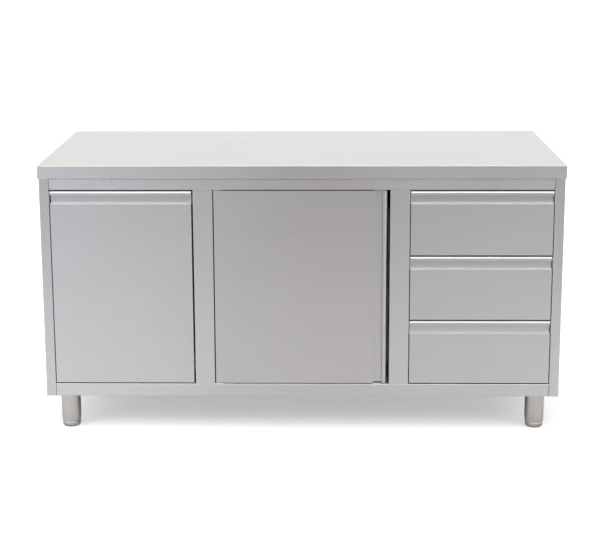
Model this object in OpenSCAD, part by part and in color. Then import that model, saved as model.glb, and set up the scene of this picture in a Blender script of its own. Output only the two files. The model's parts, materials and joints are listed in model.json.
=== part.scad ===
// Free-standing stainless work cabinet: a folded worktop on a closed carcass with a
// pull-out bay on the left, a hinged door in the middle and three drawers on the right.
// Millimetres. X runs left to right, Y front to back, Z up. The origin is on the floor
// under the middle of the worktop.

/* [Overall] */
// Length of the worktop, left to right
top_l = 1600; // [1400:1:2000]
// Depth of the worktop, front to back
top_d = 700; // [640:1:800]
// Height of the working surface above the floor
total_h = 840; // [800:1:950]
// Height of the underside of the carcass above the floor
carcass_z = 110; // [100:1:150]

/* [Worktop] */
// Height of the folded worktop edge
top_edge_h = 40; // [34:1:60]
// Thickness of the worktop sheet
top_t = 1.5; // [1:0.1:2]
// Outside radius of the worktop folds
top_r = 2; // [1.6:0.1:4]
// Width of the return fold under the worktop edge
top_return = 15; // [10:1:20]
// Overhang of the worktop past the carcass, front and back
over_y = 5; // [3:1:15]
// Overhang of the worktop past the carcass, left and right
over_x = 3; // [1:1:10]
// Thickness of the core board under the worktop sheet
board_t = 18; // [10:1:20]
// Width of each stiffening channel under the board
stiffener_w = 30; // [20:1:40]

/* [Carcass] */
// Thickness of the carcass sheet
sheet_t = 1; // [0.8:0.1:1.5]
// Outside radius of the carcass folds
fold_r = 2; // [1.6:0.1:3]
// Width of the stile folded on the front of each side panel
stile_w = 30; // [24:1:40]
// Depth of the lip behind each stile
stile_lip = 18; // [10:1:20]
// Width of the fold at the back of each side panel
back_fold_w = 20; // [15:1:30]
// Height of the top rail
top_rail_h = 35; // [25:1:60]
// Depth of the top rail's two flanges
rail_depth = 42; // [40:1:60]
// Height of the base shelf's folded front
base_h = 40; // [30:1:60]
// Depth of the return under the base shelf's folds
base_return = 12; // [8:1:20]
// Width of each post between two bays
post_w = 60; // [40:1:80]
// Clear width of the left bay
left_bay_w = 437; // [380:1:480]
// Clear width of the right bay
right_bay_w = 437; // [380:1:480]
// Width of each upright that carries runners off a side panel
upright_w = 40; // [30:1:60]

/* [Fronts] */
// Thickness of the door and of each drawer front
front_t = 20; // [18:1:26]
// Gap above, below and between the fronts
front_gap = 3; // [2:0.5:5]
// Gap at each side of a drawer front and at the door's hinge side
side_gap = 2.5; // [2:0.5:4]
// Gap at the pull-out front's right side
pull_out_gap = 5; // [2:0.5:8]
// Gap at the door's latch side
latch_gap = 8.5; // [3:0.5:12]
// Height of the grip channel, from the front's edge to its fold
grip_h = 40; // [34:1:50]
// Length of the grip's rounded lip
grip_lip = 14; // [10:1:16]
// Depth of the grip channel
grip_depth = 17; // [14:1:17]
// Outside radius of the lip's nose
nose_r = 8; // [5:0.5:9]
// Number of drawers
drawer_count = 3; // [3:1:3]

/* [Drawers] */
// Depth of each drawer box, front to back
box_d = 500; // [400:1:560]
// Height of each drawer box
box_h = 140; // [100:1:150]
// Height of the box floor above its front's lower edge
box_lift = 18; // [12:1:40]
// Width of the hem around a box's upper edge
hem_w = 8; // [5:1:12]
// Height of the pull-out tray's walls
tray_h = 120; // [80:1:200]
// Height of the braces between the pull-out front and its tray
brace_h = 220; // [120:1:300]
// Length of each runner
runner_l = 500; // [400:1:560]
// Height of each runner
runner_h = 45; // [35:1:60]
// Space that a runner takes up at each side of a box
runner_w = 13; // [12.5:0.5:16]
// Thickness of the runner members
runner_t = 1.2; // [1:0.1:1.5]
// Running gap between runner members
runner_gap = 0.3; // [0.2:0.1:0.5]

/* [Door] */
// Distance of the pivot from the door's hinge edge
pivot_x = 12; // [10:1:20]
// Distance of the pivot behind the door's face
pivot_y = 8; // [8:0.5:10]
// Diameter of each hinge pin
pin_d = 8; // [6:0.5:8]
// Outside diameter of each hinge bush
bush_d = 13; // [10:0.5:14]
// Length of each hinge pin inside the door
pin_l = 18; // [12:1:30]
// Thickness of each hinge bracket
bracket_t = 2; // [1:0.5:2]
// Width of the magnetic catch
catch_w = 40; // [30:1:60]
// Height of the magnetic catch
catch_h = 18; // [14:1:25]

/* [Shelf] */
// Height of the middle shelf's folded edge
shelf_h = 20; // [15:1:30]
// Distance from the carcass front to the middle shelf
shelf_setback = 65; // [50:1:150]
// Height of the shelf strips
strip_h = 500; // [400:1:560]
// Width of each shelf strip
strip_w = 20; // [16:1:30]
// Thickness of each shelf strip
strip_t = 2; // [1.5:0.5:3]
// Spacing of the holes in a shelf strip
strip_pitch = 25; // [20:1:50]
// Hole of the strip, counted from the bottom, that the shelf hangs in
shelf_hole = 8; // [4:1:12]

/* [Legs] */
// Diameter of each leg tube
leg_d = 60; // [40:1:64]
// Wall of each leg tube
leg_wall = 1.5; // [1:0.1:3]
// Distance of each leg's axis from the end of the worktop
leg_inset_x = 70; // [66:1:120]
// Distance of each leg's axis from the worktop's front and back
leg_inset_y = 50; // [48:1:100]
// Height of each foot when screwed right in
foot_h = 37; // [30:1:45]
// Height of the ring around each foot
foot_ring_z = 15; // [10:1:20]
// Diameter of the foot where it stands on the floor
foot_base_d = 46; // [30:1:48]
// Diameter of each foot's screw
screw_d = 16; // [10:1:20]
// Length of each foot's screw above the foot
screw_l = 45; // [35:1:50]

/* [Hidden] */

// Clearances
fit = 0.2;       // between fixed sheets that are pushed together
slip = 0.05;     // radial, around a pin or a thread
joint_gap = 0.3; // between parts that stay a hair apart

// Overall box of the carcass
front_y = -top_d / 2 + over_y;
back_y = top_d / 2 - over_y;
side_x = top_l / 2 - over_x;
carcass_top = total_h - top_edge_h;

// Openings in the front
bay_edge = side_x - stile_w;
left_post_x = -bay_edge + left_bay_w;
right_post_x = bay_edge - right_bay_w - post_w;
door_bay_x0 = left_post_x + post_w;
door_bay_x1 = right_post_x;
open_z0 = carcass_z + base_h;
open_z1 = carcass_top - top_rail_h;

// Fronts
front_h = (open_z1 - open_z0 - front_gap * (drawer_count + 1)) / drawer_count;
drawer_pitch = front_h + front_gap;
drawer_w = right_bay_w - 2 * side_gap;
pull_out_w = left_bay_w - side_gap - pull_out_gap;
door_x0 = door_bay_x0 + side_gap + 0.5;
door_w = door_bay_x1 - latch_gap - door_x0;
tall_front_h = open_z1 - open_z0 - 2 * front_gap;
front_back_y = front_y + front_t;
liner_t = sheet_t;
grip_hem = 3; // turned edge of the grip lip

// Boxes and runners
box_w = right_bay_w - 2 * runner_w;
tray_w = left_bay_w - 2 * runner_w;
runner_y = front_back_y + 2;
drawer_runner_z = box_lift + 45;
tray_z = open_z0 + front_gap + box_lift;
pull_out_runner_z = tray_z + 45;
middle_h = runner_h - 2 * (runner_t + runner_gap);
inner_h = middle_h - 2 * (runner_t + runner_gap);
upright_front_y = front_back_y + 25;
upright_back_y = runner_y + runner_l - upright_w - 40;

// Back of the carcass, from the outside in
panel_y = back_y - sheet_t;   // rear face of the back panel
inside_y = panel_y - sheet_t; // front face of the back panel

// Door hinge
hinge_x = door_x0 + pivot_x;
hinge_y = front_y + pivot_y;
door_z0 = open_z0 + front_gap;
door_z1 = open_z1 - front_gap;
block_w = 23;
block_h = pin_l + 4;

// Magnetic catch
catch_inset = 65; // from the bay's edge to the middle of the catch
catch_x = door_bay_x1 - catch_inset;
catch_y = front_back_y + 1 + joint_gap;
strike_t = 1;
magnet_depth = 6;

// Middle shelf and its strips
strip_z = open_z0 + 40;
first_hole = strip_pitch / 2;
hole_count = floor((strip_h - strip_pitch) / strip_pitch) + 1;
hole_w = 10;
hole_h = 5;
clip_drop = 17.5;
clip_t = 2;
clip_l = 16;     // how far a clip reaches under the shelf
clip_short = 8; // by which a clip's tail stops short
clip_z = strip_z + first_hole + shelf_hole * strip_pitch + clip_drop;
shelf_y0 = front_y + shelf_setback;
shelf_y1 = inside_y - 12;
strip_front_y = shelf_y0 + 40;
strip_rear_y = shelf_y1 - 60;

// Fixings
drill_l = 20;         // length of the cutters that drill through sheet
rivet_d = 4;
rivet_head_d = 8;
rivet_head_h = 1.2;
rivet_rows = 5;
rivet_margin = 30;    // from the ends of the back panel's edge to the first and last rivet

// Worktop screws
top_screw_d = 6;
top_screw_l = 11;     // shank above the head
top_screw_head_d = 11;
top_screw_head_h = 4;
top_nut_h = 5;
top_screw_x = [-0.36 * top_l, 0, 0.36 * top_l];
stiffener_y = top_d / 2 - top_return - fit - stiffener_w / 2;
stiffener_h = top_edge_h - top_t - board_t;
inner_stiffener_y = 0.15 * top_d;

// Legs
leg_x = top_l / 2 - leg_inset_x;
leg_y = top_d / 2 - leg_inset_y;
leg_spots = [[-leg_x, -leg_y], [leg_x, -leg_y], [-leg_x, leg_y], [leg_x, leg_y]];
channel_t = 1.5;
channel_w = 88;
channel_lip = 12;
plate_w = 70;
plate_t = 4;
leg_cap_t = 5;
leg_bolt_d = 10;
leg_bolt_head_d = 19;
leg_bolt_head_h = 6.5;
leg_bolt_grip = 3;    // of the bolt below the tube's cap
insert_h = 20;
foot_taper = 2.2; // how much the foot narrows, in radius, from the tube to its ring

// ---- Folded sheet ---------------------------------------------------------------

function unit(v) = v / norm(v);
function left_of(v) = [-v[1], v[0]];
function turned(v, a) = [v[0] * cos(a) - v[1] * sin(a), v[0] * sin(a) + v[1] * cos(a)];
function flat(p) = [p[0], p[1]];

// Places along a folded sheet's middle line, each with the sheet's normal there.
// A path is a list of corners [x, y, bend radius].
function stations(path, steps) = [
    for (i = [0 : len(path) - 1])
        let (
            here = flat(path[i]),
            inner = i > 0 && i < len(path) - 1,
            before = i > 0 ? unit(here - flat(path[i - 1])) : unit(flat(path[1]) - here),
            after = inner ? unit(flat(path[i + 1]) - here) : before,
            r = inner ? path[i][2] : 0,
            turn = atan2(cross(before, after), before * after),
            centre = here - before * r * tan(abs(turn) / 2) + left_of(before) * sign(turn) * r
        )
        each r == 0
            ? [[here, left_of(before)]]
            : [
                for (k = [0 : steps])
                    let (n = turned(left_of(before), turn * k / steps))
                    [centre - n * sign(turn) * r, n]
            ]
];

// Cross-section of a folded sheet
module folded(path, t = sheet_t, steps = 4) {
    line = stations(path, steps);
    polygon(concat(
        [for (s = line) s[0] + s[1] * t / 2],
        [for (i = [len(line) - 1 : -1 : 0]) line[i][0] - line[i][1] * t / 2]
    ));
}

// Extrusions of a drawn section: (y, z) along X, and (x, z) along Y
module along_x(l) {
    rotate([90, 0, 90]) linear_extrude(l) children();
}

module along_y(l) {
    translate([0, l, 0]) rotate([90, 0, 0]) linear_extrude(l) children();
}

// Rectangle with rounded corners
module soft_rect(w, h, r, steps = 5) {
    corners = [[w - r, r, -90], [w - r, h - r, 0], [r, h - r, 90], [r, r, 180]];
    polygon([
        for (c = corners, k = [0 : steps])
            let (a = c[2] + 90 * k / steps)
            [c[0] + r * cos(a), c[1] + r * sin(a)]
    ]);
}

// Box with every edge rounded
module soft_box(size, r) {
    intersection() {
        linear_extrude(size[2]) soft_rect(size[0], size[1], r);
        along_x(size[0]) soft_rect(size[1], size[2], r);
        along_y(size[1]) soft_rect(size[0], size[2], r);
    }
}

module mirrored_x() {
    children();
    mirror([1, 0, 0]) children();
}

bend = fold_r - sheet_t / 2;
half_t = sheet_t / 2;

// ---- Worktop --------------------------------------------------------------------

module worktop() {
    color("silver") difference() {
        translate([-top_l / 2, -top_d / 2, carcass_top])
            soft_box([top_l, top_d, top_edge_h], top_r);
        translate([-top_l / 2 + top_t, -top_d / 2 + top_t, carcass_top + top_t])
            cube([top_l - 2 * top_t, top_d - 2 * top_t, top_edge_h - 2 * top_t]);
        translate([-top_l / 2 + top_return, -top_d / 2 + top_return, carcass_top - 1])
            cube([top_l - 2 * top_return, top_d - 2 * top_return, top_t + 2]);
    }
}

module worktop_board() {
    edge = top_t + joint_gap;
    color("burlywood")
        translate([-top_l / 2 + edge, -top_d / 2 + edge, total_h - top_t - board_t])
            cube([top_l - 2 * edge, top_d - 2 * edge, board_t]);
}

// Channels under the board: an outer pair over the rails and an inner pair
module worktop_channels() {
    l = top_l - 2 * (top_return + fit);
    lift = top_t + 0.5;
    color("gray") difference() {
        for (y = [-stiffener_y, -inner_stiffener_y, inner_stiffener_y, stiffener_y])
            let (z0 = abs(y) == stiffener_y ? carcass_top : carcass_top + lift)
            translate([-l / 2, y, z0])
                along_x(l) u_section(stiffener_w, carcass_top + stiffener_h - z0, sheet_t);
        at_worktop_screws() cylinder(h = drill_l, d = top_screw_d + 4 * slip, center = true, $fn = 32);
    }
}

// Channel open at the top, standing on z = 0 and centred on y = 0
module u_section(w, h, t) {
    side = w / 2 - t / 2;
    folded([[-side, h], [-side, t / 2, bend], [side, t / 2, bend], [side, h]], t);
}

module at_worktop_screws() {
    for (x = top_screw_x, y = [-stiffener_y, stiffener_y])
        translate([x, y, carcass_top]) children();
}

module worktop_screws() {
    color("darkgray") at_worktop_screws() {
        translate([0, 0, -sheet_t - top_screw_head_h])
            cylinder(h = top_screw_head_h, d = top_screw_head_d, $fn = 6);
        translate([0, 0, -sheet_t - 1]) cylinder(h = top_screw_l + 1, d = top_screw_d, $fn = 32);
    }
}

module worktop_nuts() {
    color("darkgray") at_worktop_screws()
        translate([0, 0, sheet_t]) difference() {
            cylinder(h = top_nut_h, d = top_screw_head_d, $fn = 6);
            cylinder(h = drill_l, d = top_screw_d + 2 * slip, center = true, $fn = 32);
        }
}

// ---- Carcass --------------------------------------------------------------------

// Right-hand side panel: stile, lip and rear fold from one sheet, with a top flange
module side_panel() {
    flange_w = stile_w - 5;
    translate([0, 0, carcass_z]) linear_extrude(carcass_top - carcass_z)
        folded([
            [bay_edge + half_t, front_y + stile_lip],
            [bay_edge + half_t, front_y + half_t, bend],
            [side_x - half_t, front_y + half_t, bend],
            [side_x - half_t, back_y - half_t, bend],
            [side_x - back_fold_w, back_y - half_t]
        ]);
    translate([side_x - flange_w, front_y + stile_lip + 1, carcass_top - sheet_t])
        cube([flange_w - half_t, inside_y - front_y - stile_lip - 2, sheet_t]);
}

module left_side_panel() {
    color("lightgray") mirror([1, 0, 0]) side_panel();
}

module right_side_panel() {
    color("lightgray") side_panel();
}

module back_panel() {
    w = 2 * (side_x - fold_r - fit);
    color("lightgray") difference() {
        translate([-w / 2, inside_y, open_z0])
            cube([w, sheet_t, carcass_top - sheet_t - joint_gap - open_z0]);
        at_back_rivets() cylinder(h = drill_l, d = rivet_d + 4 * slip, center = true, $fn = 24);
    }
}

// Blind rivets through the rear folds and the back panel
module at_back_rivets() {
    pitch = (open_z1 - open_z0 - 2 * rivet_margin) / (rivet_rows - 1);
    for (side = [-1, 1], i = [0 : rivet_rows - 1])
        translate([
            side * (side_x - back_fold_w * 0.6),
            back_y,
            open_z0 + rivet_margin + i * pitch
        ]) rotate([-90, 0, 0]) children();
}

module back_rivets() {
    color("darkgray") at_back_rivets() {
        cylinder(h = rivet_head_h, d = rivet_head_d, $fn = 24);
        translate([0, 0, -2 * sheet_t - rivet_head_h])
            cylinder(h = 2 * sheet_t + 1.5 * rivet_head_h, d = rivet_d, $fn = 24);
    }
}

// The panels' rear folds, drilled for the rivets
module drilled_for_rivets() {
    difference() {
        children();
        at_back_rivets() cylinder(h = drill_l, d = rivet_d + 4 * slip, center = true, $fn = 24);
    }
}

module top_rail() {
    l = 2 * (bay_edge - fit);
    color("silver") difference() {
        translate([-l / 2, 0, 0]) along_x(l) folded([
            [front_y + rail_depth, open_z1 + half_t],
            [front_y + half_t, open_z1 + half_t, bend],
            [front_y + half_t, carcass_top - half_t, bend],
            [front_y + rail_depth, carcass_top - half_t]
        ]);
        at_worktop_screws()
            cylinder(h = drill_l / 2, d = top_screw_d + 4 * slip, center = true, $fn = 32);
    }
}

module rear_rail() {
    l = 2 * (bay_edge - fit);
    color("silver") difference() {
        translate([-l / 2, 0, 0]) along_x(l) folded([
            [inside_y - rail_depth + 10, open_z1 - 5],
            [inside_y - half_t, open_z1 - 5, bend],
            [inside_y - half_t, carcass_top - half_t, bend],
            [inside_y - rail_depth, carcass_top - half_t]
        ]);
        at_worktop_screws()
            cylinder(h = drill_l / 2, d = top_screw_d + 4 * slip, center = true, $fn = 32);
    }
}

// Floor of the bays: folded down at the front and back, with a wing behind each stile
module base_shelf() {
    l = 2 * (bay_edge - fit);
    wing_y = front_y + stile_lip + 1;
    color("silver") {
        translate([-l / 2, 0, 0]) along_x(l) folded([
            [front_y + base_return, carcass_z + half_t],
            [front_y + half_t, carcass_z + half_t, bend],
            [front_y + half_t, open_z0 - half_t, bend],
            [panel_y - half_t, open_z0 - half_t, bend],
            [panel_y - half_t, carcass_z + half_t, bend],
            [panel_y - base_return, carcass_z + half_t]
        ]);
        mirrored_x() translate([bay_edge - 10, wing_y, 0])
            along_y(panel_y - fold_r - wing_y) folded([
                [0, open_z0 - half_t],
                [side_x - sheet_t - half_t - bay_edge + 10, open_z0 - half_t, bend],
                [side_x - sheet_t - half_t - bay_edge + 10, carcass_z + 10]
            ]);
    }
}

// Hat channels under the base shelf that take the legs
module base_channels() {
    h = base_h - sheet_t;
    side = channel_w / 2 - channel_t / 2;
    y0 = front_y + max(base_return, stile_lip) + fit;
    y1 = panel_y - base_return - fit;
    color("gray") difference() {
        for (x = [-leg_x, leg_x])
            translate([x, y0, carcass_z]) along_y(y1 - y0) folded([
                [-side - channel_lip, h - channel_t / 2],
                [-side, h - channel_t / 2, bend],
                [-side, channel_t / 2, bend],
                [side, channel_t / 2, bend],
                [side, h - channel_t / 2, bend],
                [side + channel_lip, h - channel_t / 2]
            ], channel_t);
        at_legs() translate([0, 0, carcass_z])
            cylinder(h = drill_l, d = leg_bolt_d + 4 * slip, center = true, $fn = 32);
    }
}

// Right-hand wall and left-hand wall of a partition, and the post in front, in one sheet
module partition(x0) {
    difference() {
        translate([x0, 0, open_z0]) linear_extrude(open_z1 - open_z0 - fit)
            folded([
                [half_t, inside_y - fit],
                [half_t, front_y + half_t, bend],
                [post_w - half_t, front_y + half_t, bend],
                [post_w - half_t, inside_y - fit]
            ]);
        translate([x0 - 1, inside_y - rail_depth - 1, open_z1 - 6])
            cube([post_w + 2, rail_depth + 2, top_rail_h]);
    }
}

module left_partition() {
    color("lightgray") partition(left_post_x);
}

module right_partition() {
    color("lightgray") partition(right_post_x);
}

// Uprights between a side panel and the runners, flush with the opening's edge
module side_uprights() {
    inner = bay_edge + half_t;
    outer = side_x - sheet_t;
    for (y = [upright_front_y, upright_back_y])
        translate([0, y, open_z0]) linear_extrude(open_z1 - open_z0 - 6)
            folded([
                [outer, half_t],
                [inner, half_t, bend],
                [inner, upright_w - half_t, bend],
                [outer, upright_w - half_t]
            ]);
}

module pull_out_uprights() {
    color("gray") mirror([1, 0, 0]) side_uprights();
}

module drawer_uprights() {
    color("gray") side_uprights();
}

// ---- Runners --------------------------------------------------------------------

// Each member is drawn on a wall at x = 0, with the box to its right
module fixed_rail() {
    rail_section(0, runner_w - 2, runner_h);
}

module middle_rail() {
    rail_section(runner_t + runner_gap, runner_w - 1.5, middle_h);
}

module inner_rail() {
    translate([runner_w, 0, 0]) mirror([1, 0, 0])
        rail_section(0, runner_w - 2 * (runner_t + runner_gap) - runner_gap, inner_h);
}

// Channel with its web at x0 and its flanges reaching x1
module rail_section(x0, x1, h) {
    web = x0 + runner_t / 2;
    edge = h / 2 - runner_t / 2;
    along_y(runner_l) folded([
        [x1, edge], [web, edge, 1], [web, -edge, 1], [x1, -edge]
    ], runner_t, 3);
}

// A pair of members, one on each wall of a bay
module rail_pair(x0, w, z) {
    translate([x0, runner_y, z]) children();
    translate([x0 + w, runner_y, z]) mirror([1, 0, 0]) children();
}

function drawer_z(i) = open_z0 + front_gap + i * drawer_pitch;

module drawer_rail_pair(i) {
    rail_pair(bay_edge - right_bay_w, right_bay_w, drawer_z(i) + drawer_runner_z) children();
}

module pull_out_rail_pair() {
    rail_pair(-bay_edge, left_bay_w, pull_out_runner_z) children();
}

module drawer_fixed_rails() {
    color("darkgray") for (i = [0 : drawer_count - 1]) drawer_rail_pair(i) fixed_rail();
}

module pull_out_fixed_rails() {
    color("darkgray") pull_out_rail_pair() fixed_rail();
}

module drawer_middle_rails(i) {
    color("gainsboro") drawer_rail_pair(i) middle_rail();
}

module drawer_inner_rails(i) {
    color("darkgray") drawer_rail_pair(i) inner_rail();
}

module pull_out_middle_rails() {
    color("gainsboro") pull_out_rail_pair() middle_rail();
}

module pull_out_inner_rails() {
    color("darkgray") pull_out_rail_pair() inner_rail();
}

// ---- Fronts ---------------------------------------------------------------------

// Outer skin of a front, w long and h high, with its grip channel along the top.
// Its face is at y = 0 and the channel is open at both ends.
module front_skin(w, h) {
    fold_z = h - grip_h;
    back = grip_depth - half_t;
    skin_d = front_t - liner_t;
    along_x(w) folded([
        [skin_d, half_t],
        [half_t, half_t, bend],
        [half_t, fold_z, bend],
        [back, fold_z, 5],
        [back, h - half_t, 3],
        [half_t, h - half_t, nose_r - half_t],
        [half_t, h - grip_lip + half_t, 1],
        [half_t + grip_hem, h - grip_lip + half_t]
    ], sheet_t, 8);
    for (x = [0, w - sheet_t])
        translate([x, 0, fold_r]) cube([sheet_t, skin_d, fold_z - 2 * fold_r]);
}

// Flat inner skin that closes the back of a front
module front_liner(w, h) {
    translate([0, front_t - liner_t, 0]) cube([w, liner_t, h - fold_r]);
}

module at_drawer(i) {
    translate([bay_edge - right_bay_w + side_gap, front_y, drawer_z(i)]) children();
}

module at_pull_out() {
    translate([-bay_edge + side_gap, front_y, open_z0 + front_gap]) children();
}

module at_door() {
    translate([door_x0, front_y, door_z1]) rotate([0, 90, 0]) children();
}

module drawer_front(i) {
    color("silver") at_drawer(i) front_skin(drawer_w, front_h);
}

module drawer_liner(i) {
    color("gray") at_drawer(i) front_liner(drawer_w, front_h);
}

// Open box from folded sheet with a hem turned in around its upper edge
module hemmed_box(w, d, h) {
    difference() {
        cube([w, d, h]);
        translate([sheet_t, sheet_t, sheet_t])
            cube([w - 2 * sheet_t, d - 2 * sheet_t, h - 2 * sheet_t]);
        translate([hem_w, hem_w, sheet_t]) cube([w - 2 * hem_w, d - 2 * hem_w, h]);
    }
}

module drawer_box(i) {
    color("silver")
        translate([bay_edge - right_bay_w + runner_w, front_back_y, drawer_z(i) + box_lift])
            hemmed_box(box_w, box_d, box_h);
}

module pull_out_front() {
    color("silver") at_pull_out() front_skin(pull_out_w, tall_front_h);
}

module pull_out_liner() {
    color("gray") at_pull_out() front_liner(pull_out_w, tall_front_h);
}

module pull_out_tray() {
    color("silver") translate([-bay_edge + runner_w, front_back_y, tray_z])
        hemmed_box(tray_w, box_d, tray_h);
}

// Triangular gussets that stand on the tray's hem and hold the tall front upright
module pull_out_braces() {
    brace_d = brace_h * 0.6;
    brace_t = 2;
    foot_w = hem_w - 1;
    base_z = tray_z + tray_h;
    color("gray") for (side = [0, 1])
        translate([-bay_edge + runner_w + side * tray_w, front_back_y, base_z])
            mirror([side, 0, 0]) {
                rotate([90, 0, 90]) linear_extrude(brace_t)
                    polygon([[0, 0], [brace_d, 0], [brace_d, 6], [6, brace_h], [0, brace_h]]);
                cube([foot_w, brace_d, brace_t]);
                cube([foot_w + 8, brace_t, brace_h]);
            }
}

// ---- Door -----------------------------------------------------------------------

// Cylinder on the hinge axis, from z0 to z1
module on_hinge(z0, z1, d) {
    translate([hinge_x, hinge_y, z0]) cylinder(h = z1 - z0, d = d, $fn = 48);
}

module door_skin() {
    end_w = door_w - grip_h;
    color("silver") difference() {
        union() {
            at_door() front_skin(door_z1 - door_z0, door_w);
            for (z = [door_z0, door_z1 - sheet_t])
                translate([door_x0 + fold_r, front_y, z])
                    cube([end_w - 2 * fold_r, front_t - liner_t, sheet_t]);
        }
        on_hinge(door_z0 - 1, door_z1 + 1, bush_d + 4 * slip);
    }
}

module door_liner() {
    color("gray") at_door() front_liner(door_z1 - door_z0, door_w);
}

// Steel blocks in the door's hinge corners that hold the bushes
module door_hinge_blocks() {
    d = front_t - liner_t - sheet_t - 2 * fit;
    corner = fold_r - sheet_t + fit;
    color("dimgray") difference() {
        for (z = [door_z0 + sheet_t, door_z1 - sheet_t - block_h])
            translate([door_x0 + sheet_t + fit, front_y + sheet_t + fit, z])
                linear_extrude(block_h)
                    polygon([[corner, 0], [block_w, 0], [block_w, d], [0, d], [0, corner]]);
        on_hinge(door_z0, door_z1, bush_d + 2 * slip);
    }
}

module door_bushes() {
    l = block_h + sheet_t;
    color("ivory") difference() {
        for (z = [door_z0, door_z1 - l]) on_hinge(z, z + l, bush_d);
        on_hinge(door_z0 - 1, door_z1 + 1, pin_d + 2 * slip);
    }
}

module hinge_brackets() {
    w = pivot_x + side_gap + 12;
    color("gray") difference() {
        for (z = [open_z0, open_z1 - bracket_t])
            translate([door_bay_x0 + fit, front_y + 1, z]) cube([w, front_t + 4, bracket_t]);
        on_hinge(open_z0 - 1, open_z1 + 1, pin_d + 2 * slip);
    }
}

module hinge_pins() {
    l = front_gap + pin_l;
    color("darkgray") {
        on_hinge(open_z0, open_z0 + l, pin_d);
        on_hinge(open_z1 - l, open_z1, pin_d);
    }
}

module door_strike_plate() {
    color("gray")
        translate([catch_x - catch_w / 2, front_back_y, open_z1 - front_gap - catch_h])
            cube([catch_w, strike_t, catch_h - 2]);
}

module magnetic_catch() {
    magnet_w = catch_w * 0.7;
    magnet_h = catch_h * 0.6;
    color("white") difference() {
        translate([catch_x - catch_w / 2, catch_y, open_z1 - catch_h])
            cube([catch_w, front_y + rail_depth - catch_y, catch_h]);
        translate([catch_x - magnet_w / 2 - fit, catch_y - 1, open_z1 - (catch_h + magnet_h) / 2 - fit])
            cube([magnet_w + 2 * fit, magnet_depth + 1 + fit, magnet_h + 2 * fit]);
    }
}

module catch_magnet() {
    magnet_w = catch_w * 0.7;
    magnet_h = catch_h * 0.6;
    color("dimgray")
        translate([catch_x - magnet_w / 2, catch_y, open_z1 - (catch_h + magnet_h) / 2])
            cube([magnet_w, magnet_depth, magnet_h]);
}

// ---- Middle shelf ---------------------------------------------------------------

module middle_shelf() {
    x0 = door_bay_x0 + strip_t + 2;
    w = door_bay_x1 - strip_t - 2 - x0;
    d = shelf_y1 - shelf_y0;
    color("silver") difference() {
        translate([x0, shelf_y0, clip_z]) soft_box([w, d, shelf_h], sheet_t);
        translate([x0 + sheet_t, shelf_y0 + sheet_t, clip_z - 1])
            cube([w - 2 * sheet_t, d - 2 * sheet_t, shelf_h - sheet_t + 1]);
    }
}

// Left-hand places of the strips, mirrored to the right wall of the bay
module at_strips() {
    middle = (door_bay_x0 + door_bay_x1) / 2;
    for (y = [strip_front_y, strip_rear_y], side = [0, 1])
        translate([side == 0 ? door_bay_x0 : door_bay_x1, y, 0]) mirror([side, 0, 0]) children();
}

module shelf_strips() {
    color("gray") at_strips() difference() {
        translate([0, -strip_w / 2, strip_z]) cube([strip_t, strip_w, strip_h]);
        for (i = [0 : hole_count - 1])
            translate([-1, -hole_w / 2, strip_z + first_hole + i * strip_pitch - hole_h / 2])
                cube([strip_t + 2, hole_w, hole_h]);
    }
}

// Clip with a tongue in a hole of its strip and a ledge under the shelf
module shelf_clips() {
    tongue_w = hole_w - 2;
    tongue_h = hole_h - 2;
    color("darkgray") at_strips() {
        translate([strip_t, -strip_w / 2, clip_z - clip_t]) cube([clip_l, strip_w, clip_t]);
        translate([strip_t, -strip_w / 2, clip_z - 2 * clip_drop + clip_short])
            cube([clip_t - 0.5, strip_w, 2 * clip_drop - clip_short]);
        translate([fit, -tongue_w / 2, clip_z - clip_drop - tongue_h / 2])
            cube([strip_t, tongue_w, tongue_h]);
    }
}

// ---- Legs -----------------------------------------------------------------------

module at_legs() {
    for (spot = leg_spots) translate([spot[0], spot[1], 0]) children();
}

module leg_plates() {
    color("gray") at_legs() translate([0, 0, carcass_z + channel_t]) difference() {
        translate([-plate_w / 2, -plate_w / 2, 0]) cube([plate_w, plate_w, plate_t]);
        cylinder(h = drill_l, d = leg_bolt_d + 4 * slip, center = true, $fn = 32);
    }
}

module leg_bolts() {
    head_z = carcass_z + channel_t + plate_t;
    color("darkgray") at_legs() {
        translate([0, 0, head_z]) cylinder(h = leg_bolt_head_h, d = leg_bolt_head_d, $fn = 6);
        translate([0, 0, carcass_z - leg_cap_t - leg_bolt_grip])
            cylinder(h = head_z - carcass_z + leg_cap_t + leg_bolt_grip + 1, d = leg_bolt_d, $fn = 32);
    }
}

// Tube with a welded cap at its top
module leg_tubes() {
    color("silver") at_legs() difference() {
        translate([0, 0, foot_h]) cylinder(h = carcass_z - foot_h, d = leg_d, $fn = 96);
        translate([0, 0, foot_h - 1])
            cylinder(h = carcass_z - leg_cap_t - foot_h + 1, d = leg_d - 2 * leg_wall, $fn = 96);
        translate([0, 0, carcass_z])
            cylinder(h = drill_l, d = leg_bolt_d + 2 * slip, center = true, $fn = 32);
    }
}

// Threaded inserts in the lower ends of the tubes
module leg_inserts() {
    color("dimgray") at_legs() translate([0, 0, foot_h]) difference() {
        cylinder(h = insert_h, d = leg_d - 2 * leg_wall - 2 * slip, $fn = 96);
        cylinder(h = 60, d = screw_d + 2 * slip, center = true, $fn = 48);
    }
}

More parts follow.
